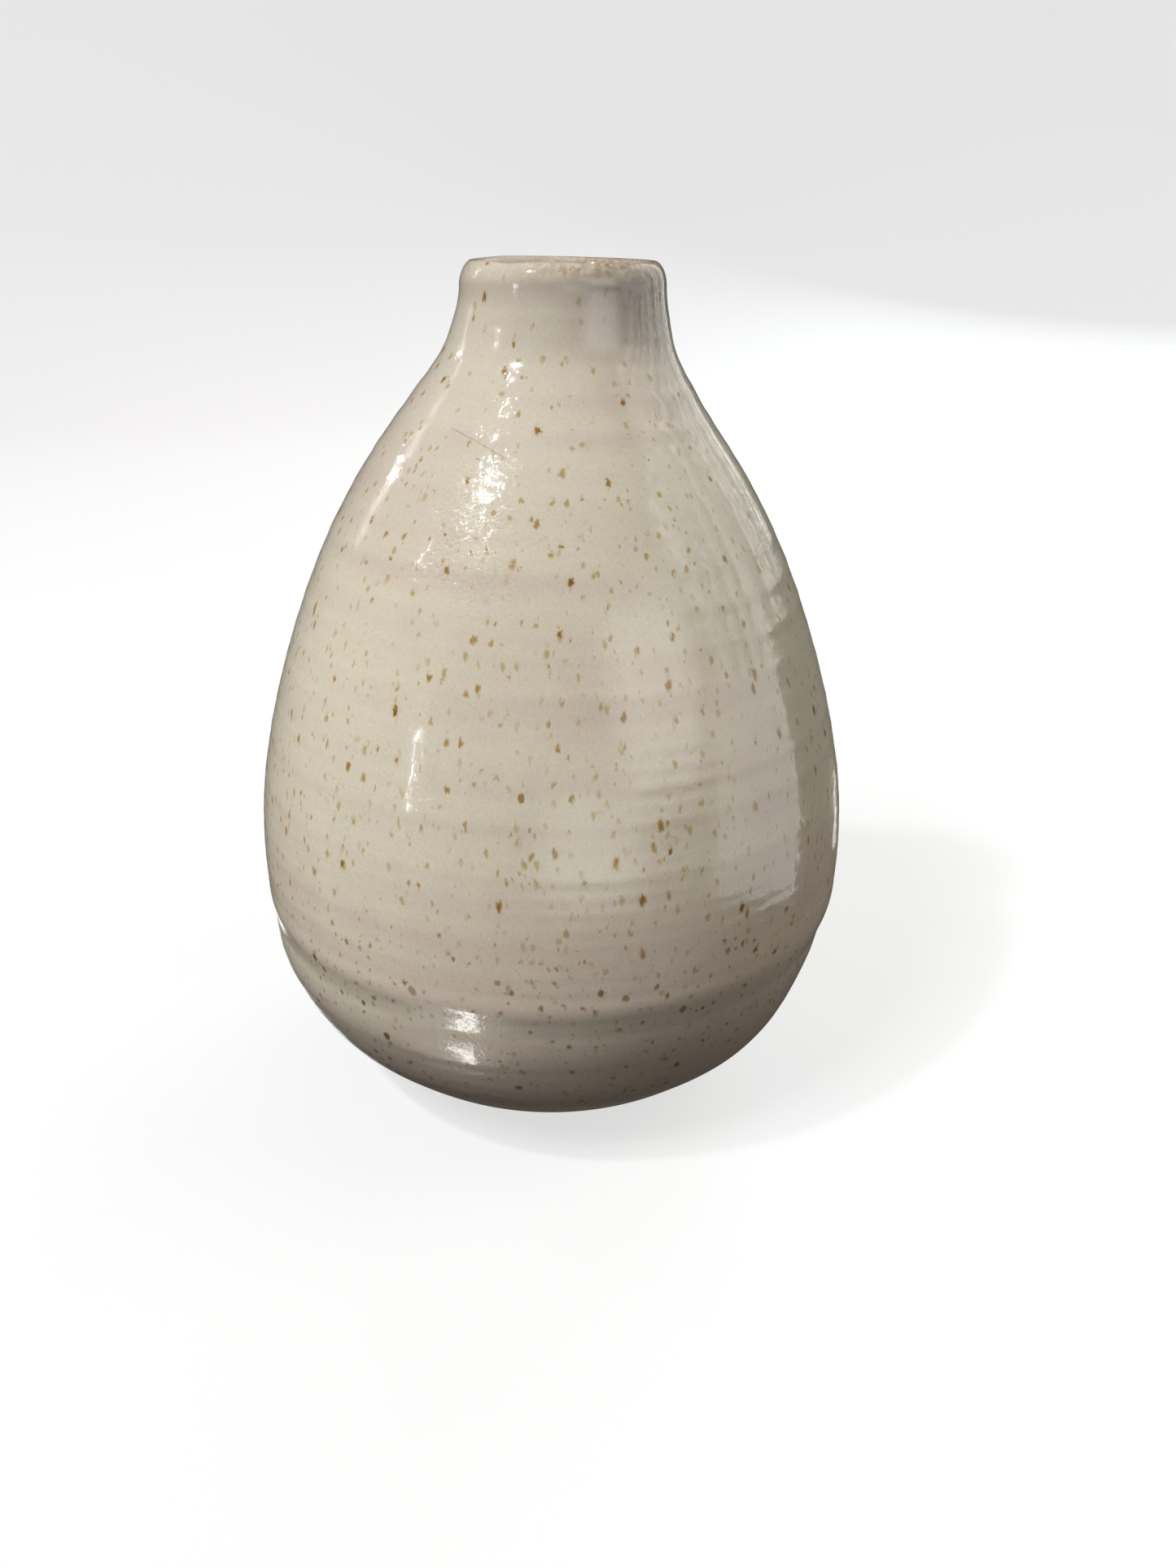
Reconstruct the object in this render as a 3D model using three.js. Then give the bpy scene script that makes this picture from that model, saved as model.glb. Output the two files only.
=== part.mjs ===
// A wheel-thrown stoneware bud vase with an egg-shaped belly, a short collar and a trimmed foot ring.
// One fired clay body carries three separate coats of glaze: the outside coat, which rolls over the lip,
// the liner poured into the inside, and the small coat in the well under the foot.
// Millimetres, +Z up. The origin is the centre of the foot, on the surface that the vase stands on.
import * as THREE from "three";

// Driving dimensions.
const HEIGHT = 150;
const LIP_CREST_RADIUS = 14.8;
const FLOOR_Z = 9.4; // the middle of the inside, on the liner
const GLAZE = 0.5; // thickness of the outside coat and of the liner
const WELL_GLAZE = 0.4; // and of the coat in the well
const WELL_GLAZE_RADIUS = 22.4;
const WELL_GLAZE_TAPER = 1.2; // how far in the coat's edge thins out
const WELL_RADIUS = 23.6;
const WELL_DEPTH = 2.6;
const FOOT_INNER = 24.5; // radii of the flat ring that the vase stands on
const FOOT_OUTER = 30.5;
const FOOT_BEVEL = 0.4;
const COLLAR_OFFSET = 1.6; // the collar was closed in slightly off the wheel's axis, towards +X
const LEAN_FROM = 122; // the wall leans between these two heights, and above them stands offset
const LEAN_TO = 146;
const SEGMENTS = 40; // facets round the axis
const CURVE_STEPS = 2; // samples between neighbouring outline points
const SEAM_POINT = 2; // the outside coat meets the liner at this point of the inside outline

// The finished outside surface, from the edge of the glaze above the foot up to the crest of the lip.
const OUTSIDE = [
  [33.4, 1.9],
  [38.6, 5.3],
  [44.2, 10.6],
  [50.7, 20],
  [54.5, 30],
  [56.1, 43],
  [55.0, 60],
  [50.1, 80],
  [42.4, 100],
  [34.2, 115],
  [25.2, 127.5],
  [19.7, 135.8],
  [17.6, 143],
  [17.0, 147.4],
  [16.1, 149.3],
  [LIP_CREST_RADIUS, HEIGHT],
];

// The finished inside surface, from the crest of the lip down to the middle of the floor.
const INSIDE = [
  [LIP_CREST_RADIUS, HEIGHT],
  [13.75, 149.2],
  [13.3, 147.2],
  [13.4, 142.5],
  [15.2, 136.6],
  [20.6, 127],
  [30.6, 113],
  [40.2, 95],
  [47.1, 76],
  [51.0, 58],
  [51.6, 40],
  [48.4, 27],
  [41.5, 16],
  [27, 10.7],
  [0, FLOOR_Z],
];

const points = (outline) => outline.map(([r, z]) => new THREE.Vector2(r, z));

function curveThrough(outline) {
  return new THREE.SplineCurve(points(outline)).getPoints((outline.length - 1) * CURVE_STEPS);
}

// Each point of a surface that ends on the axis, moved straight into the clay by the glaze's thickness.
function underGlaze(surface) {
  const last = surface.length - 1;
  return surface.map((point, i) => {
    if (i === last) return new THREE.Vector2(0, point.y - GLAZE);
    const along = surface[i + 1].clone().sub(surface[Math.max(i - 1, 0)]).normalize();
    return new THREE.Vector2(point.x - along.y * GLAZE, point.y + along.x * GLAZE);
  });
}

// Shifts the top of the vase sideways, smoothly between the two heights, so that every coat leans alike.
function leanCollar(geometry) {
  const position = geometry.getAttribute("position");
  for (let i = 0; i < position.count; i++) {
    const share = THREE.MathUtils.smoothstep(position.getZ(i), LEAN_FROM, LEAN_TO);
    position.setX(i, position.getX(i) + COLLAR_OFFSET * share);
  }
  return geometry;
}

// A solid turned from a profile that ends where it starts, or starts and ends on the axis.
function turned(name, profile, material) {
  const geometry = new THREE.LatheGeometry(profile, SEGMENTS).rotateX(Math.PI / 2);
  const mesh = new THREE.Mesh(leanCollar(geometry), material);
  mesh.name = name;
  return mesh;
}

const clay = new THREE.MeshStandardMaterial({ color: 0xb79c82, roughness: 0.9, metalness: 0 });
const outerGlaze = new THREE.MeshStandardMaterial({ color: 0xd2c9b8, roughness: 0.18, metalness: 0 });
const linerGlaze = new THREE.MeshStandardMaterial({ color: 0xcdc5b4, roughness: 0.2, metalness: 0 });
const wellGlaze = new THREE.MeshStandardMaterial({ color: 0xc8bda9, roughness: 0.25, metalness: 0 });

const surface = [...curveThrough(OUTSIDE), ...curveThrough(INSIDE).slice(1)];
const clayFace = underGlaze(surface);
const seam = (OUTSIDE.length - 1 + SEAM_POINT) * CURVE_STEPS;

// Well, foot ring and bevel from the axis outwards, then the whole wall under its glaze.
function clayBody() {
  const foot = points([
    [0, WELL_DEPTH],
    [WELL_GLAZE_RADIUS, WELL_DEPTH],
    [WELL_RADIUS, WELL_DEPTH],
    [FOOT_INNER - FOOT_BEVEL, FOOT_BEVEL],
    [FOOT_INNER, 0],
    [FOOT_OUTER, 0],
    [FOOT_OUTER + FOOT_BEVEL, FOOT_BEVEL],
  ]);
  return turned("stoneware_body", [...foot, ...clayFace], clay);
}

// A coat between two samples of the surface: back along the clay, then out along the finished face.
function coat(name, from, to, material) {
  const buried = clayFace.slice(from, to + 1).reverse();
  const finished = surface.slice(from, to + 1);
  const profile = [...buried, ...finished];
  if (profile[0].x > 0) profile.push(profile[0].clone());
  return turned(name, profile, material);
}

function footWellGlaze() {
  const profile = points([
    [0, WELL_DEPTH - WELL_GLAZE],
    [WELL_GLAZE_RADIUS - WELL_GLAZE_TAPER, WELL_DEPTH - WELL_GLAZE],
    [WELL_GLAZE_RADIUS, WELL_DEPTH],
    [0, WELL_DEPTH],
  ]);
  return turned("foot_well_glaze", profile, wellGlaze);
}

const vase = new THREE.Group();
vase.add(clayBody());
vase.add(coat("outer_glaze", 0, seam, outerGlaze));
vase.add(coat("liner_glaze", seam, surface.length - 1, linerGlaze));
vase.add(footWellGlaze());

export default vase;
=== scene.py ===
"""A speckled, wheel-thrown stoneware bud vase on a pale floor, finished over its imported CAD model.

The clay's outline is read off the CAD pot. The finished pot and its three coats of glaze are turned from
it again at a fine step, with the throwing rings, the trimmed foot, the uneven lip and the run glaze edge
in the mesh. Lengths are in millimetres until a mesh is made, and angles are in radians.
"""

import math

import bpy
import numpy as np
from mathutils import Matrix, Vector


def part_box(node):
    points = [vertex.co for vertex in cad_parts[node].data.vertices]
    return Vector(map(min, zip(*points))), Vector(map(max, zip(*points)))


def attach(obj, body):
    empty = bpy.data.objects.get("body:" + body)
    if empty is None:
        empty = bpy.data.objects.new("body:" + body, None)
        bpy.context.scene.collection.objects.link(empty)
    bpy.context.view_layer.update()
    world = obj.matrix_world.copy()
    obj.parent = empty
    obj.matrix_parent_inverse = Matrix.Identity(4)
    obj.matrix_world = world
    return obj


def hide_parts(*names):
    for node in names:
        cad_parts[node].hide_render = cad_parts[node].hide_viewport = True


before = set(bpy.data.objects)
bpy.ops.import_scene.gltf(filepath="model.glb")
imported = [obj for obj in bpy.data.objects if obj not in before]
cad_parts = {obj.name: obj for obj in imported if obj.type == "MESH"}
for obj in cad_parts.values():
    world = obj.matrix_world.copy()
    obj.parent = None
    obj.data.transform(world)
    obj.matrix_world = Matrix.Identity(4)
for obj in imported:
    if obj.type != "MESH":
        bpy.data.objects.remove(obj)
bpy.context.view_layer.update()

MM = 0.001
TAU = 2 * math.pi

# The camera of a close, hand-held view. Its place is in the vase's frame.
CAMERA_PLACE = (0, -211.5, 153.3)
CAMERA_PITCH = math.radians(24.99)  # below the horizon
CAMERA_YAW = math.radians(1.85)  # towards +X
CAMERA_ROLL = math.radians(0.8)
LENS, SENSOR = 27.09, 36

# The collar stands off-centre towards +X, as in the CAD model.
COLLAR_OFFSET = 1.6
LEAN_FROM, LEAN_TO = 122, 146
SAG = 1.0  # how far the low belly stands off the axis

# The lip is out of level: lower in front, rounder on the left, with a finger's dip left of the front.
LIP_FROM, LIP_TO = 142, 150  # the drop fades in between these two heights
LIP_DROP = 0.28
LIP_TILT = 0.006  # lower towards +X, for each millimetre
LIP_FORWARD = 0.2
LIP_ROUNDER = 0.45
LIP_DIP = 0.35
DIP_ANGLE, DIP_WIDTH = -0.62, 0.2

# The coats of glaze.
GLAZE = 0.5
BEAD = 0.22  # how much thicker the glaze is where it stopped running
BEAD_REACH = 0.75
BEAD_PLACE = 0.8  # from the edge
EDGE_WAVE = 0.5  # how far the edge above the foot wanders up the wall
FOOT_POINTS = 7  # points of the CAD outline from the well's centre to the foot's outer bevel
SEAM_DEPTH = 2.8  # how far below the crest, inside the mouth, the outside coat meets the liner

BEAD_RISE = 0.55  # how soon the coat reaches its full thickness from its edge
EDGE_START = 0.6  # how far up the wall the coat starts

# The mesh.
SEGMENTS = 256
OUTSIDE_STEP = 0.62  # between rings of vertices on the outside
HIDDEN_STEP = 4.0
INSIDE_STEP = 1.1

# Marks of the potter's fingers on the outside: height, how far it stands out, half width.
# They wander up and down and come and go round the vase, over fine rings and a slight out-of-roundness.
FINGER_RINGS = [
    (147.0, 0.10, 1.5),
    (143.4, -0.08, 1.8),
    (139.8, 0.03, 1.3),
    (129.5, 0.12, 1.4),
    (125.0, 0.05, 1.1),
    (120.5, 0.07, 1.3),
    (115.5, 0.05, 1.6),
    (107.0, 0.07, 1.7),
    (101.3, 0.06, 1.3),
    (95.5, 0.06, 1.4),
    (89.5, 0.07, 1.7),
    (83.7, 0.05, 1.3),
    (76.5, 0.04, 1.2),
    (71.5, 0.05, 1.5),
    (63.2, 0.055, 1.7),
    (56.5, 0.02, 1.7),
    (51.3, 0.01, 1.4),
    (39.7, 0.13, 1.7),
    (34.7, -0.45, 2.7),
    (28.0, 0.10, 2.4),
    (21.0, -0.06, 2.4),
    (18.0, 0.75, 6.0),
]
RING_WANDER = 0.35
RING_CHANGE = 0.35
FINE_RING, FINE_PITCH = 0.012, 2.7
OUT_OF_ROUND = 0.05
RINGS_INSET = 0.14  # keeps the crests of the rings inside the CAD outline

# The deeper marks inside, one rising spiral.
SPIRAL, SPIRAL_PITCH = 0.26, 5.4
SPIRAL_WANDER = 0.4

# Fine turning lines on the bare foot, and the glaze in its well, with a rounded edge and a slight wave.
TURNING_LINE, TURNING_PITCH = 0.035, 0.9
WELL_ROUNDING = 1.1
WELL_WAVE, WELL_PITCH = 0.05, 2.6


# ---------------------------------------------------------------- shapes


def smoothstep(value, low, high):
    t = np.clip((value - low) / (high - low), 0, 1)
    return t * t * (3 - 2 * t)


def hump(value, middle, half_width):
    """A smooth hump, 1 in the middle."""
    return np.exp(-(((value - middle) / half_width) ** 2))


def ripple(angle, height, seed, waves=6, around=5, upright=0.12):
    """Smooth noise of about -1 to 1 that closes on itself round the vase."""
    rng = np.random.default_rng(seed)
    total = 0
    for _ in range(waves):
        turns = rng.integers(1, around + 1)
        climb = rng.uniform(-upright, upright)
        start = rng.uniform(0, TAU)
        total = total + np.sin(turns * angle + climb * height + start)
    return total / math.sqrt(waves)


def lean(height):
    return COLLAR_OFFSET * smoothstep(height, LEAN_FROM, LEAN_TO)


def lip_drop(x, angle, height):
    """How far the uneven lip stands below the CAD model's level one."""
    rounder = LIP_ROUNDER * smoothstep(-x, 8, 17)
    dip = LIP_DIP * hump(angle, DIP_ANGLE, DIP_WIDTH)
    forward = LIP_FORWARD * np.cos(angle)
    return (LIP_DROP + LIP_TILT * x + rounder + dip + forward) * smoothstep(height, LIP_FROM, LIP_TO)


def sag(height):
    """The low belly stands a little off the axis, towards -X, and the foot doesn't."""
    return SAG * smoothstep(height, 6, 18) * (1 - smoothstep(height, 26, 41))


def section(node):
    """A CAD node's outline in the half plane towards -Y: (radius, height) points in order."""
    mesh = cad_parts[node].data
    places = [tuple(round(c / MM, 3) for c in v.co) for v in mesh.vertices]
    on_plane = [y <= 0 and abs(x - lean(z)) < 0.02 for x, y, z in places]
    links = {}
    for edge in mesh.edges:
        a, b = edge.vertices
        if on_plane[a] and on_plane[b] and places[a] != places[b]:
            links.setdefault(places[a], set()).add(places[b])
            links.setdefault(places[b], set()).add(places[a])
    start = min((p for p in links if len(links[p]) == 1), key=lambda p: p[2])
    chain, before = [start], None
    while True:
        onward = [p for p in links[chain[-1]] if p != before]
        if not onward:
            return np.array([(-y, z) for _, y, z in chain])
        before = chain[-1]
        chain.append(onward[0])


def through(points, steps=24):
    """A close polyline on a smooth curve through the points (Catmull-Rom)."""
    padded = np.vstack([2 * points[0] - points[1], points, 2 * points[-1] - points[-2]])
    t = np.linspace(0, 1, steps, endpoint=False)[:, None]
    spans = []
    for a, b, c, d in zip(padded, padded[1:], padded[2:], padded[3:]):
        square, cube = 2 * a - 5 * b + 4 * c - d, 3 * b - a - 3 * c + d
        spans.append(0.5 * (2 * b + (c - a) * t + square * t**2 + cube * t**3))
    return np.vstack([*spans, points[-1:]])


class Line:
    """An outline that is asked for points and normals by the distance along it."""

    def __init__(self, points):
        step = np.hypot(*np.diff(points, axis=0).T)
        self.along = np.concatenate([[0], np.cumsum(step)])
        self.length = self.along[-1]
        self.points = points
        tangent = np.gradient(points, self.along, axis=0)
        tangent /= np.hypot(*tangent.T)[:, None]
        self.normals = np.stack([tangent[:, 1], -tangent[:, 0]], 1)

    def at(self, s):
        return [np.interp(s, self.along, column) for column in (*self.points.T, *self.normals.T)]

    def crest(self):
        return self.along[self.points[:, 1].argmax()]


def outside_rings(angle, height):
    """How far the clay stands out from its smooth outline, outside."""
    level = height + RING_WANDER * ripple(angle, height, seed=11, around=3, upright=0.02)
    phase = 0.8 * ripple(angle, height, seed=12, around=2)
    out = FINE_RING * np.sin(TAU * level / FINE_PITCH + phase)
    for place, size, half_width in FINGER_RINGS:
        change = 1 + RING_CHANGE * ripple(angle, height, seed=int(place * 7), around=3, upright=0.02)
        out = out + size * change * hump(level, place, half_width)
    out = out + OUT_OF_ROUND * ripple(angle, height, seed=13, around=2, upright=0.05)
    return out * smoothstep(height, 3, 16) * (1 - smoothstep(height, 146, 149.5)) - RINGS_INSET


def inside_rings(angle, height):
    """How far the clay stands out from its smooth outline, inside."""
    wander = SPIRAL_WANDER * ripple(angle, height, seed=21, around=3, upright=0.03)
    spiral = angle / TAU + (height + wander) / SPIRAL_PITCH
    depth = SPIRAL * smoothstep(height, 12, 24) * (1 - smoothstep(height, 118, 140))
    return depth * np.sin(TAU * spiral) + 0.06 * ripple(angle, height, seed=22)


ANGLES = -math.pi + TAU * np.arange(SEGMENTS) / SEGMENTS


def stations(start, end, step):
    """Distances from start to end about a step apart. Either end may be an array, one for each angle."""
    length = float(np.mean(np.abs(np.asarray(end) - start)))
    shares = np.linspace(0, 1, max(2, round(length / step) + 1))
    return [start + (end - start) * share for share in shares]


def ring(line, s, marks, thickness=0.0):
    """One ring of places: the clay's surface with its marks, and a thickness of glaze on it."""
    r, z, nr, nz = line.at(np.broadcast_to(s, ANGLES.shape))
    out = marks(ANGLES, z) + thickness
    r, z = r + nr * out, z + nz * out
    x = r * np.sin(ANGLES) + lean(z) - sag(z)
    return np.stack([x, -r * np.cos(ANGLES), z - lip_drop(x, ANGLES, z)], 1)


def pole(height):
    return np.array([[0, 0, height]])


def mesh_of_rings(name, rings, heights_in_map, closed):
    """A mesh whose quads join each ring to the next, and the last to the first if it is closed."""
    first, count = [], 0
    for places in rings:
        first.append(count)
        count += len(places)
    pairs = [(i, i + 1) for i in range(len(rings) - 1)]
    if closed:
        pairs.append((len(rings) - 1, 0))

    def side(i, j):
        """The ends of edge j of ring i, each with its place in the map. A pole has only one."""
        left, right = j / SEGMENTS, (j + 1) / SEGMENTS
        height = heights_in_map[i]
        if len(rings[i]) == 1:
            return [(first[i], left, height)]
        return [(first[i] + j, left, height), (first[i] + (j + 1) % SEGMENTS, right, height)]

    faces, corners = [], []
    for a, b in pairs:
        for j in range(SEGMENTS):
            corner = side(a, j) + side(b, j)[::-1]
            faces.append([c[0] for c in corner])
            corners.extend(c[1:] for c in corner)
    mesh = bpy.data.meshes.new(name)
    mesh.from_pydata((np.vstack(rings) * MM).tolist(), [], faces)
    bake_map = mesh.uv_layers.new(name="OFBake")
    bake_map.data.foreach_set("uv", np.array(corners, np.float32).ravel())
    mesh.shade_smooth()
    mesh.update()
    piece = bpy.data.objects.new(name, mesh)
    bpy.context.scene.collection.objects.link(piece)
    return piece


def map_heights(visible, hidden, share=0.95):
    """Rows of the bake's map: the rings that show share most of it evenly, and the hidden ones the rest."""
    shown = np.linspace(1 - share, 1, visible)
    return np.concatenate([shown, np.linspace((1 - share) * 0.8, 0.002, hidden)])


def paint(piece, name, rings):
    """Keeps a number for each point on the mesh, which the material reads by that name."""
    layer = piece.data.attributes.new(name, "FLOAT", "POINT")
    layer.data.foreach_set("value", np.concatenate(rings).astype(np.float32))


# The clay's outline, from the middle of the well round the foot, up the wall, over the lip and inside.
outline = section("stoneware_body")
foot_line = Line(outline[: FOOT_POINTS + 1])
wall_line = Line(through(outline[FOOT_POINTS:]))
CREST = wall_line.crest()
SEAM = CREST + SEAM_DEPTH


def glaze_edge():
    """Where the outside coat begins, in distance along the wall, for each angle round the foot."""
    return EDGE_START + EDGE_WAVE * (1 + 0.8 * ripple(ANGLES, 0, seed=31, around=9))


def rounded(distance, reach):
    """A quarter circle's rise from 0 at an edge to 1 at that reach from it."""
    return np.sqrt(1 - (1 - np.clip(distance / reach, 0, 1)) ** 2)


def beaded(distance):
    """The glaze's thickness at a distance from its edge: a rounded bead, then an even coat."""
    return rounded(distance, BEAD_RISE) * (GLAZE + BEAD * hump(distance, BEAD_PLACE, BEAD_REACH))


def blush_at(angle, height):
    """How pink the glaze looks, 0 to 1: pinker on the crests of the rings, where it is thin, and on the low
    belly. Under the lip it is thinner glaze and painted shade.
    """
    crests = (outside_rings(angle, height) + RINGS_INSET) / 0.12
    drift = 0.14 * ripple(angle, height, seed=41, around=3, upright=0.16, waves=9)
    bands = 0.16 * ripple(angle, height, seed=42, around=1, upright=1.3, waves=9)
    low = 0.42 * smoothstep(-height, -72, -40)
    # painted shade under the lip, over thinner glaze there
    painted_under_lip = 0.55 * hump(height, 144.6, 1.8)
    return np.clip(0.30 + 0.15 * crests + drift + bands + low + painted_under_lip, 0, 1)


def make_outer_coat():
    edge = glaze_edge()
    rings, blush = [], []
    for s in stations(edge, SEAM, OUTSIDE_STEP):
        s = np.broadcast_to(s, ANGLES.shape)
        marks = outer_marks(s)
        rings.append(ring(wall_line, s, marks, beaded(s - edge)))
        blush.append(blush_at(ANGLES, rings[-1][:, 2]))
    shown = len(rings)
    for s in stations(SEAM, edge, HIDDEN_STEP)[:-1]:
        rings.append(ring(wall_line, s, outer_marks(np.broadcast_to(s, ANGLES.shape))))
        blush.append(np.full(SEGMENTS, 0.5))
    heights = map_heights(shown, len(rings) - shown)
    piece = mesh_of_rings("outer_glaze_coat", rings, heights, closed=True)
    paint(piece, "blush", blush)
    return piece


def outer_marks(s):
    """The marks for rings on both sides of the lip: the outside's fade out at the crest."""
    outside = 1 - smoothstep(s, CREST - 2, CREST)
    return lambda angle, height: outside * outside_rings(angle, height)


def make_liner():
    def marks_at(s):
        inside = smoothstep(s, CREST + 1, SEAM + 8)
        return lambda angle, height: inside * inside_rings(angle, height)

    end = wall_line.length
    rings = [ring(wall_line, s, marks_at(s), GLAZE) for s in stations(SEAM, end, INSIDE_STEP)[:-1]]
    rings.append(pole(wall_line.points[-1, 1] + GLAZE))
    shown = len(rings)
    rings.append(pole(wall_line.points[-1, 1]))
    rings += [ring(wall_line, s, marks_at(s)) for s in stations(end, SEAM, HIDDEN_STEP)[1:]]
    piece = mesh_of_rings("liner_glaze_coat", rings, map_heights(shown, len(rings) - shown), closed=True)
    paint(piece, "blush", [np.full(len(r), 0.45) for r in rings])
    return piece


def wave(distance, pitch):
    """An even wave between 0 and 1."""
    return 0.5 - 0.5 * np.cos(TAU * distance / pitch)


def make_pot():
    """The clay itself. Only the foot shows: the rest lies under the glaze."""
    rings = [pole(outline[0, 1])]
    for s in stations(0, foot_line.length, 0.35)[1:-1]:
        r, z, nr, nz = foot_line.at(np.full(SEGMENTS, s))
        rough = 1 + ripple(ANGLES, r, seed=51, around=4, upright=1.2)
        groove = TURNING_LINE * wave(r, TURNING_PITCH) + 0.03 * rough
        r, z = r - nr * groove, z - nz * groove
        rings.append(np.stack([r * np.sin(ANGLES), -r * np.cos(ANGLES), np.maximum(z, 0)], 1))
    foot_rings = len(rings)
    for s in stations(0, SEAM, HIDDEN_STEP / 4):
        rings.append(ring(wall_line, s, outer_marks(np.full(SEGMENTS, s))))
    for s in stations(SEAM, wall_line.length, HIDDEN_STEP)[1:-1]:
        rings.append(ring(wall_line, s, lambda angle, height: 0 * angle))
    rings.append(pole(wall_line.points[-1, 1]))
    shown = foot_rings + 8
    hidden = np.linspace(0.8, 1, len(rings) - shown + 1)[1:]
    heights = np.concatenate([np.linspace(0, 0.8, shown), hidden])
    return mesh_of_rings("stoneware_pot", rings, heights, closed=False)


def make_well_glaze():
    """The pool of glaze in the well under the foot, with a rounded, slightly wandering edge."""
    low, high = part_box("foot_well_glaze")
    radius, floor, depth = high.x / MM, high.z / MM, (high.z - low.z) / MM
    edge = radius - EDGE_WAVE * (1 + 0.8 * ripple(ANGLES, 0, seed=61, around=7))
    rings = [pole(floor - depth)]
    for share in np.linspace(0.03, 1, 48):
        r = edge * share
        distance = edge - r
        sink = depth * rounded(distance, WELL_ROUNDING)
        sink = sink - WELL_WAVE * wave(r, WELL_PITCH) * smoothstep(distance, 0.5, 3)
        rings.append(np.stack([r * np.sin(ANGLES), -r * np.cos(ANGLES), floor - sink], 1))
    rings.append(pole(floor))
    heights = np.linspace(0.002, 1, len(rings))
    piece = mesh_of_rings("foot_well_glaze_coat", rings, heights, closed=False)
    paint(piece, "blush", [np.full(len(r), 0.6) for r in rings])
    return piece


# ---------------------------------------------------------------- materials


def linear(red, green, blue):
    """A display colour of 0 to 255 as the renderer's linear colour (sRGB, and never near black here)."""
    return [((c / 255 + 0.055) / 1.055) ** 2.4 for c in (red, green, blue)] + [1]


class Shader:
    """One material's nodes. Each method adds a node and gives back its output."""

    def __init__(self, name):
        self.material = bpy.data.materials.new(name)
        self.material.use_nodes = True
        self.tree = self.material.node_tree
        self.surface = self.tree.nodes["Principled BSDF"]

    def add(self, kind, inputs=(), output=0, **settings):
        node = self.tree.nodes.new(kind)
        for key, value in settings.items():
            setattr(node, key, value)
        for key, value in dict(inputs).items():
            self.put(node.inputs[key], value)
        return node.outputs[output]

    def show(self, surface):
        """Makes that shader the material's surface, in place of the usual one."""
        self.put(self.tree.nodes["Material Output"].inputs["Surface"], surface)

    def put(self, socket, value):
        if isinstance(value, bpy.types.NodeSocket):
            self.tree.links.new(value, socket)
        else:
            socket.default_value = value

    def math(self, operation, a, b=0.0):
        return self.add("ShaderNodeMath", {0: a, 1: b}, operation=operation)

    def vector(self, operation, a, b):
        return self.add("ShaderNodeVectorMath", {0: a, 1: b}, operation=operation)

    def scale(self, vector, factor):
        return self.add("ShaderNodeVectorMath", {0: vector, "Scale": factor}, operation="SCALE")

    def part(self, vector, axis):
        """One number of a vector: 0 for x, 1 for y, 2 for z."""
        return self.add("ShaderNodeSeparateXYZ", {0: vector}, axis)

    def darken(self, colour, tint):
        return self.mix(1.0, colour, tint, "MULTIPLY")

    def noise(self, place, scale, detail=2.0, roughness=0.5, output=0):
        inputs = {"Vector": place, "Scale": scale, "Detail": detail, "Roughness": roughness}
        return self.add("ShaderNodeTexNoise", inputs, output=output)

    def fade(self, value, low, high, from_share=0.0, to_share=1.0):
        """A smooth step from one share to another as value goes from low to high."""
        inputs = {"Value": value, "From Min": low, "From Max": high}
        inputs |= {"To Min": from_share, "To Max": to_share}
        return self.add("ShaderNodeMapRange", inputs, interpolation_type="SMOOTHSTEP")

    def mix(self, share, a, b, blend="MIX"):
        node = self.tree.nodes.new("ShaderNodeMix")
        node.data_type, node.blend_type = "RGBA", blend
        self.put(node.inputs[0], share)
        self.put(node.inputs[6], a)
        self.put(node.inputs[7], b)
        return node.outputs[2]

    def ramp(self, value, stops):
        node = self.tree.nodes.new("ShaderNodeValToRGB")
        elements = node.color_ramp.elements
        while len(elements) < len(stops):
            elements.new(0.5)
        for element, (place, colour) in zip(elements, stops):
            element.position, element.color = place, colour
        self.put(node.inputs[0], value)
        return node.outputs[0]

    def curve(self, value, points):
        """A number that goes straight from point to point: (value, result) pairs."""
        low, high = points[0][0], points[-1][0]
        share = self.add("ShaderNodeMapRange", {"Value": value, "From Min": low, "From Max": high})
        stops = [((at - low) / (high - low), (*[result / 2] * 3, 1)) for at, result in points]
        return self.scale(self.ramp(share, stops), 2.0)

    def place(self):
        """The point on the object, in millimetres."""
        return self.scale(self.add("ShaderNodeTexCoord", output="Object"), 1 / MM)

    def attribute(self, name):
        return self.add("ShaderNodeAttribute", output="Fac", attribute_name=name)


def warped(shader, place, wavelength, amount):
    """The place pushed about by noise of that wavelength, so that round marks come out ragged."""
    push = shader.noise(place, 1 / wavelength, 1.0, output=1)
    push = shader.vector("SUBTRACT", push, (0.5, 0.5, 0.5))
    return shader.vector("ADD", place, shader.scale(push, 2 * amount))


def speck_layer(shader, place, spacing, radius, soft, share, strength, offset):
    """Scattered marks, one in some of the cells of a pattern. Gives a mark's strength at each point."""
    cells = shader.tree.nodes.new("ShaderNodeTexVoronoi")
    shader.put(cells.inputs["Vector"], shader.vector("ADD", place, (offset, 2 * offset, 3 * offset)))
    shader.put(cells.inputs["Scale"], 1 / spacing)
    distance = shader.math("MULTIPLY", cells.outputs["Distance"], spacing)
    dice = shader.add("ShaderNodeSeparateColor", {0: cells.outputs["Color"]}).node.outputs
    present = shader.math("LESS_THAN", dice[0], share)
    size = shader.math("ADD", shader.math("MULTIPLY", dice[1], 0.65 * radius), 0.55 * radius)
    core = shader.math("SUBTRACT", size, 1.6 * soft)
    rim = shader.math("ADD", size, 0.4 * soft)
    edge = shader.fade(distance, core, rim, 1.0, 0.0)
    depth = shader.math("ADD", shader.math("MULTIPLY", dice[2], 0.6 * strength), 0.4 * strength)
    return shader.math("MULTIPLY", shader.math("MULTIPLY", edge, present), depth)


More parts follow.
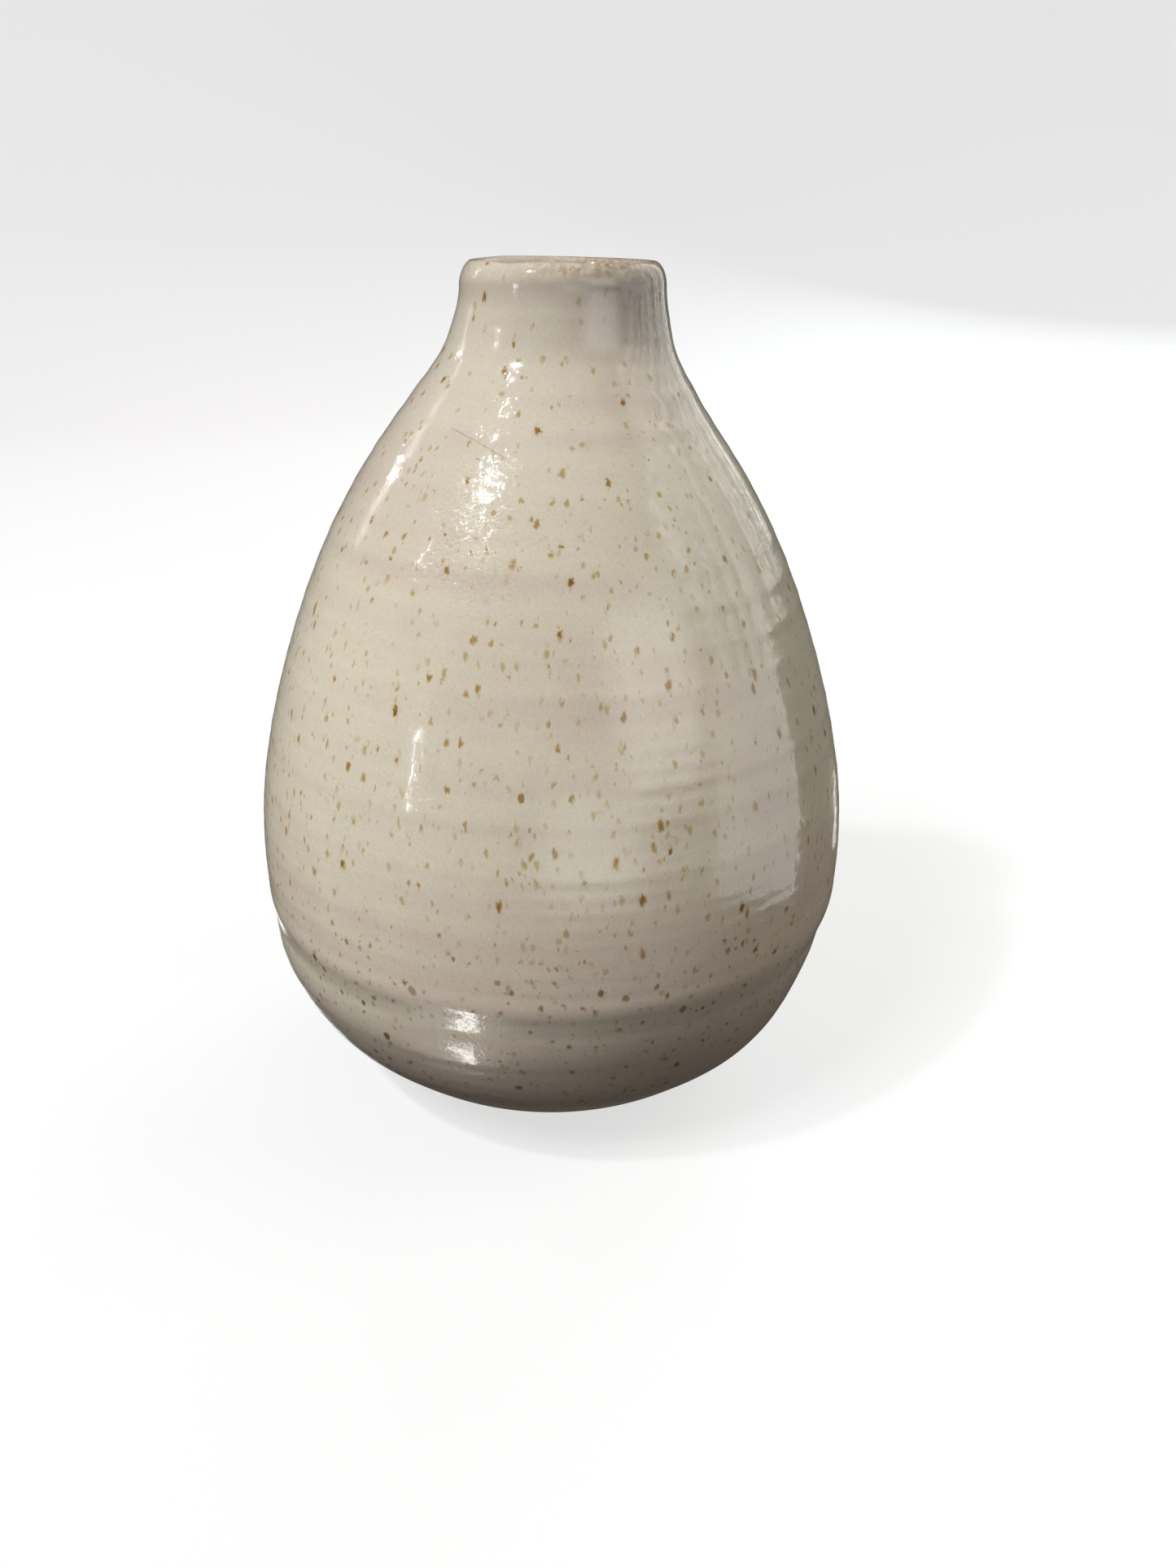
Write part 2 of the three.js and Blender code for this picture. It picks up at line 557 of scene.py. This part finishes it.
STRIP_WIDTH = 0.42  # of the narrow upright strips in which the specks ran down by different amounts
RUN_LOW, RUN_HIGH = 0.7, 2.0  # how far they ran on the low belly, and above it
SPECK_STRETCH = 0.6  # specks are upright: their height is multiplied by this before they are made
ROUND_BELOW = 50  # and nearly round below this height
SPECK_CROWD = [  # how crowded the specks are, by height
    (0.0, 1.2),
    (20.0, 1.2),
    (55.0, 1.0),
    (75.0, 0.95),
    (110.0, 0.8),
    (125.0, 0.65),
    (135.0, 0.5),
    (150.0, 0.5),
]
SHARES = {"few": 0.7, "most": 0.88}  # the share of cells that hold a speck, before it is crowded
SPECK_LAYERS = [  # spacing, radius, softness of the edge, share, strength, offset of the pattern
    (3.9, 0.64, 0.24, "few", 1.0, 3.1),  # large and dark
    (2.3, 0.53, 0.22, "most", 0.78, 17.3),
    (1.9, 0.50, 0.20, "most", 0.42, 41.9),  # faint
    (4.4, 0.76, 0.24, "low", 1.0, 91.3),  # the largest, on the low belly only
    (1.6, 0.25, 0.12, "few", 0.60, 71.7),  # tiny
]
HALO = (3.9, 1.0, 0.5, "few", 0.12, 3.1)  # a faint ring round each of the first layer


def run_down(shader, place):
    """The place with its height pushed about in narrow upright strips, so that marks get ragged legs."""
    strips = shader.noise(shader.vector("MULTIPLY", place, (1, 1, 0.2)), 1 / STRIP_WIDTH, 1.0)
    reach = shader.fade(shader.part(place, 2), 25, 70, RUN_LOW, RUN_HIGH)
    shift = shader.math("MULTIPLY", shader.math("SUBTRACT", strips, 0.5), reach)
    return shader.vector("ADD", place, shader.add("ShaderNodeCombineXYZ", {2: shift}))


def specks(shader, place):
    """Iron specks, which ran down a little with the glaze. Gives how much iron there is at each point."""
    crowd = shader.curve(shader.part(place, 2), SPECK_CROWD)
    run = run_down(shader, place)
    height = shader.part(run, 2)
    shares = {name: shader.math("MULTIPLY", crowd, share) for name, share in SHARES.items()}
    shares["low"] = shader.fade(height, 40, 58, 0.9, 0.0)

    round_part = shader.math("MULTIPLY", shader.math("MINIMUM", height, ROUND_BELOW), 0.25)
    upright = shader.vector("MULTIPLY", run, (1, 1, SPECK_STRETCH))
    upright = shader.vector("ADD", upright, shader.add("ShaderNodeCombineXYZ", {2: round_part}))
    ragged = warped(shader, warped(shader, upright, 1.3, 0.34), 0.5, 0.24)

    total = None
    for place_of, layer in [(ragged, layer) for layer in SPECK_LAYERS] + [(upright, HALO)]:
        spacing, radius, soft, share, strength, offset = layer
        marks = speck_layer(shader, place_of, spacing, radius, soft, shares[share], strength, offset)
        total = marks if total is None else shader.math("MAXIMUM", total, marks)
    return total


SPECK_TINTS = [  # what the iron does to the light that the glaze gives back, from none to the darkest
    (0.0, (1, 1, 1, 1)),
    (0.3, (0.80, 0.71, 0.51, 1)),
    (0.6, (0.62, 0.43, 0.22, 1)),
    (0.85, (0.42, 0.24, 0.09, 1)),
    (1.0, (0.30, 0.15, 0.06, 1)),
]

LOW_SPECK_TINTS = [  # duller and darker towards the foot, where the glaze is thin
    (0.0, (1, 1, 1, 1)),
    (0.3, (0.78, 0.74, 0.66, 1)),
    (0.6, (0.52, 0.44, 0.34, 1)),
    (1.0, (0.24, 0.17, 0.11, 1)),
]

THICK_GLAZE = linear(213, 205, 186)
THIN_GLAZE = linear(205, 191, 177)
POOLED_GLAZE = linear(208, 202, 182)
WORN_GLAZE = linear(172, 150, 128)  # where it thinned over the edge of the lip
PAINTED_LIGHT_BY_HEIGHT = [  # brightness of the glaze by height, painted light and shade: lightest on the belly round 44 mm, darker towards the foot
    (0.0, 0.78),
    (18.0, 0.72),
    (24.0, 0.81),
    (29.0, 0.94),
    (36.0, 1.0),
    (44.0, 1.18),
    (54.0, 1.11),
    (70.0, 1.03),
    (88.0, 1.01),
    (102.0, 0.95),
    (116.0, 0.955),
    (126.0, 1.01),
    (150.0, 1.0),
]
THIN_AND_SHADED_COLLAR_TINT = (0.85, 0.845, 0.87, 1)  # greyer towards the collar, where the glaze is thinner, and darker there as painted shade
GRAIN_TINT = (0.94, 0.935, 0.92, 1)
UNDER_LIP_SHADE = [(137.0, 0.0), (142.0, 1.0), (147.0, 1.0), (149.0, 0.6)]  # how strong the painted shade under the lip is, by height
# the darkening of the painted shade under the lip
UNDER_LIP_SHADE_TINT = (0.72, 0.71, 0.71, 1)

# Heights of the relief, in millimetres.
PEEL, PEEL_WAVE = 0.010, 0.7
SWELL, SWELL_WAVE = 0.05, 3.2
FROST, FROST_WAVE = 0.06, 0.45
SCUFFED_PLACE = (-8, -35, 112)  # the middle of a patch on the shoulder that is rubbed and glitters
SCRATCH_FROM, SCRATCH_TO = Vector((-16.3, -21.2, 125.9)), Vector((-7.2, -28.4, 122.3))
SCRATCH_WIDTH, SCRATCH_DEPTH = 0.16, 0.10


def scratch(shader, place):
    """A hairline scratch in the glaze on the left of the shoulder: 1 along its middle, and 0 off it."""

    def measured(start, direction):
        inputs = {0: start, 1: direction}
        return shader.add("ShaderNodeVectorMath", inputs, "Value", operation="DOT_PRODUCT")

    length = (SCRATCH_TO - SCRATCH_FROM).length
    along = (SCRATCH_TO - SCRATCH_FROM).normalized()
    outward = Vector((SCRATCH_FROM.x + SCRATCH_TO.x, SCRATCH_FROM.y + SCRATCH_TO.y, 34)).normalized()
    across = along.cross(outward).normalized()
    start = shader.vector("SUBTRACT", warped(shader, place, 1.6, 0.14), SCRATCH_FROM)
    off = shader.math("ABSOLUTE", measured(start, across))
    reach = measured(start, along)
    begins = shader.fade(reach, 0, 0.6)
    ends = shader.fade(reach, length - 0.6, length, 1.0, 0.0)
    outside = shader.fade(shader.part(place, 1), -14, -10, 1.0, 0.0)
    line = shader.fade(off, 0.0, SCRATCH_WIDTH, 1.0, 0.0)
    for limit in (begins, ends, outside):
        line = shader.math("MULTIPLY", line, limit)
    return line


def centred(shader, noise, size):
    """Noise of 0 to 1 moved to lie about 0, and made that large."""
    return shader.math("MULTIPLY", shader.math("SUBTRACT", noise, 0.5), size)


def glaze_body(shader, place):
    """The cream of the glaze, pinker where it is thin, with its clouds and pools, and painted light and
    shade by height.
    """
    height = shader.part(place, 2)
    clouds = shader.noise(place, 1 / 16, 3.0)
    streaks = shader.noise(shader.vector("MULTIPLY", place, (1, 1, 0.35)), 1 / 5, 2.0)
    thinness_and_lip_shade = shader.math("ADD", shader.attribute("blush"), centred(shader, clouds, 0.6))
    thinness_and_lip_shade = shader.math("ADD", thinness_and_lip_shade, centred(shader, streaks, 0.5))
    body = shader.mix(shader.fade(thinness_and_lip_shade, 0.05, 0.95), THICK_GLAZE, THIN_GLAZE)
    pools = shader.fade(shader.noise(place, 1 / 22, 2.0), 0.52, 0.72, 0.0, 0.55)
    body = shader.mix(pools, body, POOLED_GLAZE)
    # greyer and darker towards the collar: thinner glaze, and painted shade
    body = shader.mix(shader.fade(height, 98, 140), body, shader.darken(body, THIN_AND_SHADED_COLLAR_TINT))
    # painted light and shade by height: brighter on the belly, darker towards the foot
    return shader.vector("MULTIPLY", body, shader.curve(height, PAINTED_LIGHT_BY_HEIGHT))


def at_the_lip(shader, place, body):
    """The glaze worn brown in spots on top of the lip, mostly on the right, and painted shade below the
    lip, on the right.
    """
    height, sideways = shader.part(place, 2), shader.part(place, 0)
    mottle = shader.fade(shader.noise(place, 1 / 0.9, 3.0), 0.34, 0.62)
    worn = shader.math("MULTIPLY", shader.fade(height, 145.8, 148.6), mottle)
    worn = shader.math("MULTIPLY", worn, shader.fade(sideways, -12, 8, 0.12, 0.9))
    body = shader.mix(worn, body, WORN_GLAZE)
    # painted shade under the overhang of the lip, on the right
    painted_lip_shade = shader.math("MULTIPLY", shader.curve(height, UNDER_LIP_SHADE), shader.fade(sideways, 0, 12))
    return shader.mix(painted_lip_shade, body, shader.darken(body, UNDER_LIP_SHADE_TINT))


def glaze_colour(shader, place):
    body = at_the_lip(shader, place, glaze_body(shader, place))
    grain = shader.fade(shader.noise(place, 1 / 0.5, 2.0), 0.3, 0.7)
    body = shader.mix(grain, shader.darken(body, GRAIN_TINT), body)
    iron = specks(shader, place)
    low_tint, high_tint = shader.ramp(iron, LOW_SPECK_TINTS), shader.ramp(iron, SPECK_TINTS)
    tint = shader.mix(shader.fade(shader.part(place, 2), 34, 66), low_tint, high_tint)
    return shader.darken(body, tint)


def frosted_share(shader, place):
    """Where the glaze has fine crystals: scattered grains, with most of them in the scuffed patch."""
    grit = shader.fade(shader.noise(place, 1 / 0.7, 2.0), 0.46, 0.60)
    patches = shader.fade(shader.noise(place, 1 / 5, 2.0), 0.35, 0.6, 0.5, 1.0)
    inputs = {0: place, 1: SCUFFED_PLACE}
    away = shader.add("ShaderNodeVectorMath", inputs, "Value", operation="DISTANCE")
    scuffed = shader.fade(away, 10, 15, 1.0, 0.35)
    return shader.math("MULTIPLY", shader.math("MULTIPLY", grit, patches), scuffed)


def glaze_material(name):
    """A glossy cream glaze with iron specks and a fine orange-peel surface."""
    shader = Shader(name)
    place = shader.place()
    grit = frosted_share(shader, place)
    hairline = scratch(shader, place)

    peel = shader.math("MULTIPLY", shader.noise(place, 1 / PEEL_WAVE, 1.0), PEEL)
    swell = shader.math("MULTIPLY", shader.noise(place, 1 / SWELL_WAVE, 1.0), SWELL)
    crystals = shader.math("MULTIPLY", grit, shader.noise(place, 1 / FROST_WAVE, 2.0, 0.6))
    relief = shader.math("ADD", peel, swell)
    relief = shader.math("SUBTRACT", relief, shader.math("MULTIPLY", crystals, FROST))
    relief = shader.math("SUBTRACT", relief, shader.math("MULTIPLY", hairline, SCRATCH_DEPTH))
    bump = shader.add("ShaderNodeBump", {"Height": relief, "Distance": MM, "Strength": 1.0})

    rough = shader.fade(shader.noise(place, 1 / 2.4, 2.0), 0.3, 0.7, 0.035, 0.06)
    rough = shader.math("ADD", rough, shader.math("MULTIPLY", grit, 0.02))
    rough = shader.math("ADD", rough, shader.math("MULTIPLY", hairline, 0.35))

    surface = shader.surface
    shader.put(surface.inputs["Base Color"], glaze_colour(shader, place))
    shader.put(surface.inputs["Roughness"], rough)
    shader.put(surface.inputs["Normal"], bump)
    surface.inputs["IOR"].default_value = 1.52
    return shader.material


DARK_CLAY, PALE_CLAY = linear(176, 150, 122), linear(196, 172, 142)
SAND_TINT = (0.86, 0.84, 0.80, 1)


def clay_material():
    """Bare buff stoneware: dry and sandy, with dark grog."""
    shader = Shader("bare_stoneware")
    place = shader.place()
    patches = shader.fade(shader.noise(place, 1 / 6, 3.0), 0.35, 0.65)
    body = shader.mix(patches, DARK_CLAY, PALE_CLAY)
    sand = shader.fade(shader.noise(place, 1 / 0.35, 2.0), 0.35, 0.65)
    body = shader.mix(sand, shader.darken(body, SAND_TINT), body)
    grog = speck_layer(shader, warped(shader, place, 0.6, 0.25), 1.7, 0.30, 0.08, 0.4, 1.0, 9.7)
    colour = shader.darken(body, shader.ramp(grog, SPECK_TINTS))
    height = shader.math("MULTIPLY", shader.noise(place, 1 / 0.3, 3.0, 0.6), 0.05)
    surface = shader.surface
    shader.put(surface.inputs["Base Color"], colour)
    shader.put(surface.inputs["Normal"], shader.add("ShaderNodeBump", {"Height": height, "Distance": MM}))
    surface.inputs["Roughness"].default_value = 0.86
    return shader.material


# ---------------------------------------------------------------- camera, light and floor


def make_camera():
    pitch, yaw, roll = CAMERA_PITCH, CAMERA_YAW, CAMERA_ROLL
    ahead = Vector((math.sin(yaw) * math.cos(pitch), math.cos(yaw) * math.cos(pitch), -math.sin(pitch)))
    level = Vector((math.cos(yaw), -math.sin(yaw), 0))
    over = level.cross(ahead)
    right = math.cos(roll) * level + math.sin(roll) * over
    up = -math.sin(roll) * level + math.cos(roll) * over
    data = bpy.data.cameras.new("camera")
    data.lens, data.sensor_width = LENS, SENSOR
    data.clip_start, data.clip_end = 0.01, 20
    camera = bpy.data.objects.new("camera", data)
    turned = Matrix((right, up, -ahead)).transposed().to_4x4()
    camera.matrix_world = Matrix.Translation(Vector(CAMERA_PLACE) * MM) @ turned
    bpy.context.scene.collection.objects.link(camera)
    bpy.context.scene.camera = camera


AIM = Vector((0, 0, 90))  # the lamps and cards face this point, and their places are told from it


def towards(azimuth, elevation, distance):
    """A place seen from the vase: azimuth 0 is -Y, the viewer's side, and positive is to the right."""
    a, e = math.radians(azimuth), math.radians(elevation)
    return AIM + distance * Vector((math.sin(a) * math.cos(e), -math.cos(a) * math.cos(e), math.sin(e)))


def lamp(name, place, width, height, watts, colour=(1, 1, 1), diffuse=True, glossy=True):
    data = bpy.data.lights.new(name, "AREA")
    data.shape, data.size, data.size_y = "RECTANGLE", width * MM, height * MM
    data.energy, data.color = watts, colour
    light = bpy.data.objects.new(name, data)
    light.location = place * MM
    light.rotation_euler = (AIM - place).to_track_quat("-Z", "Y").to_euler()
    light.visible_diffuse, light.visible_glossy = diffuse, glossy
    light.visible_camera = False
    bpy.context.scene.collection.objects.link(light)


WARM = (1.0, 0.93, 0.84)
COOL = (0.92, 0.98, 1.0)
PALE = (1.0, 0.99, 0.95)


BACKDROP = (0.86, 0.86, 0.86, 1)
ROOM_LIGHT = [  # the height of a direction, from -1 straight down to 1 straight up, and its glow
    (-0.9, (0.07, 0.060, 0.050)),
    (-0.3, (0.12, 0.103, 0.085)),
    (0.1, (0.06, 0.057, 0.052)),
    (1.0, (0.04, 0.04, 0.04)),
]


def card(name, azimuth, elevation, distance, width, height, strength, colour, feather, **extras):
    """A glowing card that is seen only in the glaze. Its edges fade over that share of its half width.

    The extras are turn, in degrees clockwise as the vase sees it, and those of card_material."""
    place = towards(azimuth, elevation, distance)
    turn = math.radians(extras.pop("turn", 0.0))
    half_width, half_height = width / 2 * MM, height / 2 * MM
    corners = [(-half_width, -half_height), (half_width, -half_height)]
    corners += [(half_width, half_height), (-half_width, half_height)]
    mesh = bpy.data.meshes.new(name)
    mesh.from_pydata([(x, y, 0) for x, y in corners], [], [(0, 1, 2, 3)])
    mesh.materials.append(card_material(name, width, height, strength, colour, feather, **extras))
    board = bpy.data.objects.new(name, mesh)
    board.location = place * MM
    facing = (AIM - place).to_track_quat("Z", "Y").to_matrix()
    board.rotation_euler = (facing @ Matrix.Rotation(-turn, 3, "Z")).to_euler()
    bpy.context.scene.collection.objects.link(board)
    board.visible_camera = board.visible_diffuse = board.visible_shadow = False


def card_material(name, width, height, strength, colour, feather, stripes=0.0, near_side=0.0):
    """A glow that fades at the card's edges. Stripes is their width, and near_side the share of the card's
    width over which it fades on the side nearer the viewer."""
    shader = Shader(name)
    shader.tree.nodes.remove(shader.surface)
    point = shader.add("ShaderNodeTexCoord", output="Object")
    across = shader.math("MULTIPLY", shader.part(point, 0), 2 / (width * MM))
    upward = shader.math("MULTIPLY", shader.part(point, 1), 2 / (height * MM))
    mask = shader.fade(shader.math("ABSOLUTE", across), 1 - feather, 1.0, 1.0, 0.0)
    ends = shader.fade(shader.math("ABSOLUTE", upward), 1 - feather, 1.0, 1.0, 0.0)
    mask = shader.math("MULTIPLY", mask, ends)
    if near_side:
        fading = shader.fade(across, 1 - 2 * near_side, 1.0, 1.0, 0.0)
        mask = shader.math("MULTIPLY", mask, fading)
    if stripes:
        lines = shader.noise(shader.vector("MULTIPLY", point, (1, 0.02, 1)), 1 / (stripes * MM), 2.0)
        mask = shader.math("MULTIPLY", mask, shader.fade(lines, 0.44, 0.56, 0.15, 1.0))
    glow = shader.add("ShaderNodeEmission", {"Color": (*colour, 1), "Strength": strength})
    clear = shader.add("ShaderNodeBsdfTransparent")
    shader.show(shader.add("ShaderNodeMixShader", {0: mask, 1: clear, 2: glow}))
    return shader.material


def make_lights():
    lamp("lamp", towards(-57, 53, 900), 50, 50, 4.0, glossy=False)
    lamp("lamp_seen", towards(-53.5, 52.5, 900), 30, 30, 3.6, (0.95, 0.98, 1.0), diffuse=False)
    lamp("soft_key", towards(-46, 48, 1100), 300, 300, 7.6, glossy=False)
    lamp("right", towards(90, 40, 1100), 600, 600, 4.2, (1, 0.95, 0.88), glossy=False)
    lamp("right_back", towards(150, 20, 1100), 600, 600, 7.2, (0.85, 1, 0.97), glossy=False)
    lamp("back", towards(-170, 30, 1100), 600, 600, 2.6, (1, 0.72, 0.76), glossy=False)
    lamp("left_back", towards(-115, 20, 1100), 600, 600, 0.6, COOL, glossy=False)
    lamp("table", towards(5, -30, 1100), 600, 600, 0.8, glossy=False)
    lamp("second_lamp", towards(-121, 25, 900), 22, 22, 0.25)
    lamp("third_lamp", towards(-74, 31, 900), 9, 18, 0.25, diffuse=False)
    lamp("door_edge", towards(-53.5, 5, 900), 8, 170, 0.2, COOL, diffuse=False)
    card("lamp_in_table", -44.5, -56, 900, 125, 250, 11.0, PALE, 0.12, turn=-25)
    card("bright_wall", 112, 27, 1000, 1700, 860, 2.5, PALE, 0.03, stripes=75, turn=-7)
    card("near_wall", 44, 18, 900, 900, 700, 2.8, PALE, 0.7)
    card("window", 80.5, -6.9, 900, 800, 560, 1.9, PALE, 0.03, turn=-12, near_side=0.22)
    card("window_jamb", 97, -13, 900, 110, 350, 1.6, PALE, 0.06, turn=-9)
    card("room_behind", 14, -4, 900, 900, 560, 2.2, PALE, 0.8)
    card("far_sill", 142, -24.0, 900, 90, 130, 1.6, PALE, 0.3)
    card("pale_strip", -119, 25, 950, 110, 460, 2.5, PALE, 0.6)
    card("table_behind", -155, -41, 900, 170, 280, 1.3, COOL, 0.3)
    card("table_glow", -48, -56, 900, 700, 460, 1.3, WARM, 0.9)


def make_world():
    """Dim surroundings, warm and darkening below, and a pale backdrop for the camera past the floor."""
    world = bpy.data.worlds.new("room")
    bpy.context.scene.world = world
    world.use_nodes = True
    tree = world.node_tree
    tree.nodes.clear()
    place = tree.nodes.new("ShaderNodeTexCoord")
    split = tree.nodes.new("ShaderNodeSeparateXYZ")
    share = tree.nodes.new("ShaderNodeMapRange")
    ramp = tree.nodes.new("ShaderNodeValToRGB")
    tree.links.new(place.outputs["Generated"], split.inputs[0])
    tree.links.new(split.outputs["Z"], share.inputs["Value"])
    share.inputs["From Min"].default_value, share.inputs["From Max"].default_value = -1, 1
    tree.links.new(share.outputs[0], ramp.inputs[0])
    elements = ramp.color_ramp.elements
    while len(elements) < len(ROOM_LIGHT):
        elements.new(0.5)
    for element, (height, colour) in zip(elements, ROOM_LIGHT):
        element.position, element.color = (height + 1) / 2, (*colour, 1)
    room = tree.nodes.new("ShaderNodeBackground")
    tree.links.new(ramp.outputs[0], room.inputs["Color"])
    backdrop = tree.nodes.new("ShaderNodeBackground")
    backdrop.inputs["Color"].default_value = BACKDROP
    path = tree.nodes.new("ShaderNodeLightPath")
    mix = tree.nodes.new("ShaderNodeMixShader")
    out = tree.nodes.new("ShaderNodeOutputWorld")
    tree.links.new(path.outputs["Is Camera Ray"], mix.inputs[0])
    tree.links.new(room.outputs[0], mix.inputs[1])
    tree.links.new(backdrop.outputs[0], mix.inputs[2])
    tree.links.new(mix.outputs[0], out.inputs[0])


FLOOR_FLAT, FLOOR_CURVE, FLOOR_TOP = 900, 500, 2200
FLOOR_SIDES = 96


def make_floor():
    """A round pale floor that curves up into a backdrop. It takes shadows, but lights nothing."""
    rows = [(r, 0) for r in (200, 500, FLOOR_FLAT)]
    for a in np.linspace(0.1, math.pi / 2, 14):
        rows.append((FLOOR_FLAT + FLOOR_CURVE * math.sin(a), FLOOR_CURVE * (1 - math.cos(a))))
    rows.append((FLOOR_FLAT + FLOOR_CURVE, FLOOR_TOP))
    places = [(0, 0, 0)]
    for r, z in rows:
        for a in np.linspace(0, TAU, FLOOR_SIDES, endpoint=False):
            places.append((r * math.cos(a), r * math.sin(a), z))
    sides = [(j, (j + 1) % FLOOR_SIDES) for j in range(FLOOR_SIDES)]
    faces = [(0, 1 + j, 1 + k) for j, k in sides]
    for i in range(len(rows) - 1):
        a, b = 1 + FLOOR_SIDES * i, 1 + FLOOR_SIDES * (i + 1)
        faces += [(a + j, b + j, b + k, a + k) for j, k in sides]
    mesh = bpy.data.meshes.new("floor")
    mesh.from_pydata([tuple(c * MM for c in p) for p in places], [], faces)
    mesh.shade_smooth()
    floor = bpy.data.objects.new("floor", mesh)
    bpy.context.scene.collection.objects.link(floor)
    floor.visible_diffuse = floor.visible_glossy = floor.visible_shadow = False
    mesh.materials.append(floor_material())


def floor_material():
    """Pale and matt, and clear from below, so that the underside can be seen."""
    shader = Shader("pale_floor")
    surface = shader.surface
    surface.inputs["Base Color"].default_value = (0.25, 0.25, 0.25, 1)
    surface.inputs["Roughness"].default_value = 0.9
    surface.inputs["Emission Color"].default_value = (1, 1, 1, 1)
    surface.inputs["Emission Strength"].default_value = 0.68
    clear = shader.add("ShaderNodeBsdfTransparent")
    below = shader.add("ShaderNodeNewGeometry", output="Backfacing")
    shader.show(shader.add("ShaderNodeMixShader", {0: below, 1: surface.outputs[0], 2: clear}))
    return shader.material


# ---------------------------------------------------------------- the scene

make_camera()
make_world()
make_lights()
make_floor()

outer_glaze = glaze_material("outer_glaze")
PIECES = [
    (make_pot, "stoneware_body", "stoneware", clay_material()),
    (make_outer_coat, "outer_glaze", "outer_glaze", outer_glaze),
    (make_liner, "liner_glaze", "liner_glaze", outer_glaze),
    (make_well_glaze, "foot_well_glaze", "well_glaze", outer_glaze),
]
for make, node, slot, material in PIECES:
    piece = make()
    piece.data.materials.append(material)
    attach(piece, "root")
    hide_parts(node)

bpy.context.scene.view_settings.view_transform = "Standard"
